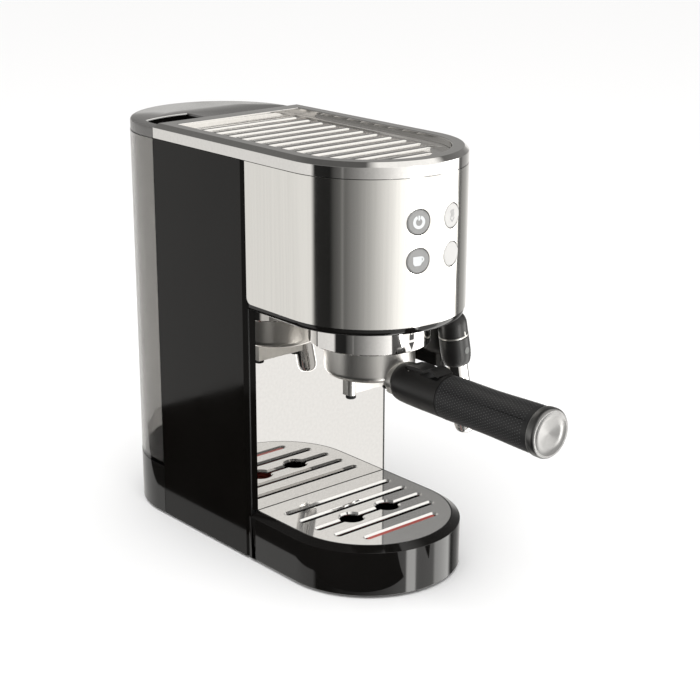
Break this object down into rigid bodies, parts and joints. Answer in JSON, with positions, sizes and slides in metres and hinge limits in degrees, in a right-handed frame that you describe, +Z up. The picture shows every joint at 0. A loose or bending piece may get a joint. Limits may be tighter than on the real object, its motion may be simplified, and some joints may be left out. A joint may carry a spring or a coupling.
{
  "type": "espresso machine",
  "caption": "Slim pump espresso machine with a rear water tank, drip tray, locking portafilter, push buttons, steam wand and a ribbed cup shelf.",
  "frame": {"origin": "on the surface the machine stands on, at the middle of its overall width and length", "axes": "+X to the steam wand's side, +Y from the portafilter handle to the water tank, +Z up"},
  "size_m": [0.14, 0.428, 0.319],
  "materials": {
    "steel": "fine brushed stainless steel",
    "chrome": "polished chrome plate",
    "mirror_steel": "mirror polished stainless steel",
    "brushed_cap": "spin-brushed stainless steel",
    "aluminium": "die-cast",
    "brass": "drawn tube",
    "gloss_black": "high-gloss moulded",
    "matt_black": "fine-textured moulded",
    "rubber": "matt",
    "grip_rubber": "soft-touch with raised dots",
    "smoke": "clear smoke-tinted plastic",
    "smoke_lid": "smoke-tinted plastic",
    "red": "moulded",
    "button_grey": "satin",
    "button_pale": "satin",
    "white_plastic": "moulded",
    "board": "solder resist"
  },
  "bodies": {
    "machine": {"base_plate": "matt_black", "foot_front_left": "rubber", "foot_front_right": "rubber", "foot_rear_left": "rubber", "foot_rear_right": "rubber", "side_panel_left": "gloss_black", "side_panel_right": "gloss_black", "front_wall": "matt_black", "rear_panel": "matt_black", "splash_plate": "mirror_steel", "head_base": "gloss_black", "head_shell": "steel", "top_deck": "matt_black", "top_rim": "chrome", "cup_plate": "steel", "tank_dock": "gloss_black", "dock_seal": "rubber", "cord_gland": "rubber", "group_ring": "chrome", "group_body": "aluminium", "group_gasket": "rubber", "shower_screen": "steel", "screen_screw": "steel", "control_board": "board", "wand_pivot": "steel", "wand_housing": "gloss_black", "pump": "white_plastic", "pump_mount_lower": "rubber", "pump_mount_upper": "rubber", "thermoblock": "aluminium", "suction_hose": "white_plastic", "pressure_hose": "white_plastic", "steam_pipe": "brass"},
    "tank": {"water_tank": "smoke", "valve_spring": "steel"},
    "tank_valve": {"tank_valve": "white_plastic"},
    "tank_lid": {"tank_lid": "smoke_lid"},
    "drip_tray": {"drip_tray": "gloss_black"},
    "drip_grid": {"drip_grid": "steel"},
    "drip_float": {"drip_float": "red"},
    "portafilter": {"portafilter_bowl": "steel", "filter_basket": "steel", "spout_block": "steel", "spout_tip_left": "rubber", "spout_tip_right": "rubber", "handle_rod": "steel", "handle_core": "matt_black", "handle_grip": "grip_rubber", "handle_cap": "brushed_cap", "clip_pin": "steel"},
    "filter_clip": {"filter_clip": "gloss_black"},
    "button_power": {"button_power": "button_grey"},
    "button_coffee": {"button_coffee": "button_grey"},
    "button_steam": {"button_steam": "button_pale"},
    "button_water": {"button_water": "button_pale"},
    "steam_wand": {"wand_head": "matt_black", "wand_ring": "chrome", "wand_body": "matt_black", "steam_tube": "steel"},
    "froth_sleeve": {"froth_sleeve": "chrome"}
  },
  "joints": [
    {"name": "tank_lift", "type": "slide", "parent": "machine", "child": "tank", "axis": [0, 0, 1], "range_m": [0, 0.1]},
    {"name": "tank_lid_hinge", "type": "hinge", "parent": "tank", "child": "tank_lid", "pos_m": [0, 0.1352, 0.316], "axis": [1, 0, 0], "range_deg": [0, 90]},
    {"name": "tank_valve_lift", "type": "slide", "parent": "tank", "child": "tank_valve", "axis": [0, 0, 1], "range_m": [0, 0.003], "stiffness_N_per_m": 300, "deforming": ["valve_spring"]},
    {"name": "drip_tray_slide", "type": "slide", "parent": "machine", "child": "drip_tray", "axis": [0, -1, 0], "range_m": [0, 0.12]},
    {"name": "drip_grid_lift", "type": "slide", "parent": "drip_tray", "child": "drip_grid", "axis": [0, 0, 1], "range_m": [0, 0.04]},
    {"name": "drip_float_rise", "type": "slide", "parent": "drip_tray", "child": "drip_float", "axis": [0, 0, 1], "range_m": [0, 0.01]},
    {"name": "portafilter_turn", "type": "hinge", "parent": "machine", "child": "portafilter", "pos_m": [0, -0.0345, 0.18], "axis": [0, 0, 1], "range_deg": [-45, 0]},
    {"name": "filter_clip_flip", "type": "hinge", "parent": "portafilter", "child": "filter_clip", "pos_m": [0, -0.0855, 0.1651], "axis": [-1, 0, 0], "range_deg": [0, 75]},
    {"name": "button_power_press", "type": "slide", "parent": "machine", "child": "button_power", "axis": [0.2214, 0.9752, 0], "range_m": [0, 0.0015], "stiffness_N_per_m": 400},
    {"name": "button_coffee_press", "type": "slide", "parent": "machine", "child": "button_coffee", "axis": [0.2214, 0.9752, 0], "range_m": [0, 0.0015], "stiffness_N_per_m": 400},
    {"name": "button_steam_press", "type": "slide", "parent": "machine", "child": "button_steam", "axis": [-0.2214, 0.9752, 0], "range_m": [0, 0.0015], "stiffness_N_per_m": 400},
    {"name": "button_water_press", "type": "slide", "parent": "machine", "child": "button_water", "axis": [-0.2214, 0.9752, 0], "range_m": [0, 0.0015], "stiffness_N_per_m": 400},
    {"name": "steam_wand_swing", "type": "hinge", "parent": "machine", "child": "steam_wand", "pos_m": [0.0458, -0.073, 0.1868], "axis": [0, -1, 0], "range_deg": [-11, 24]},
    {"name": "froth_sleeve_pull", "type": "slide", "parent": "steam_wand", "child": "froth_sleeve", "axis": [0.1908, 0, -0.9816], "range_m": [0, 0.04]}
  ]
}
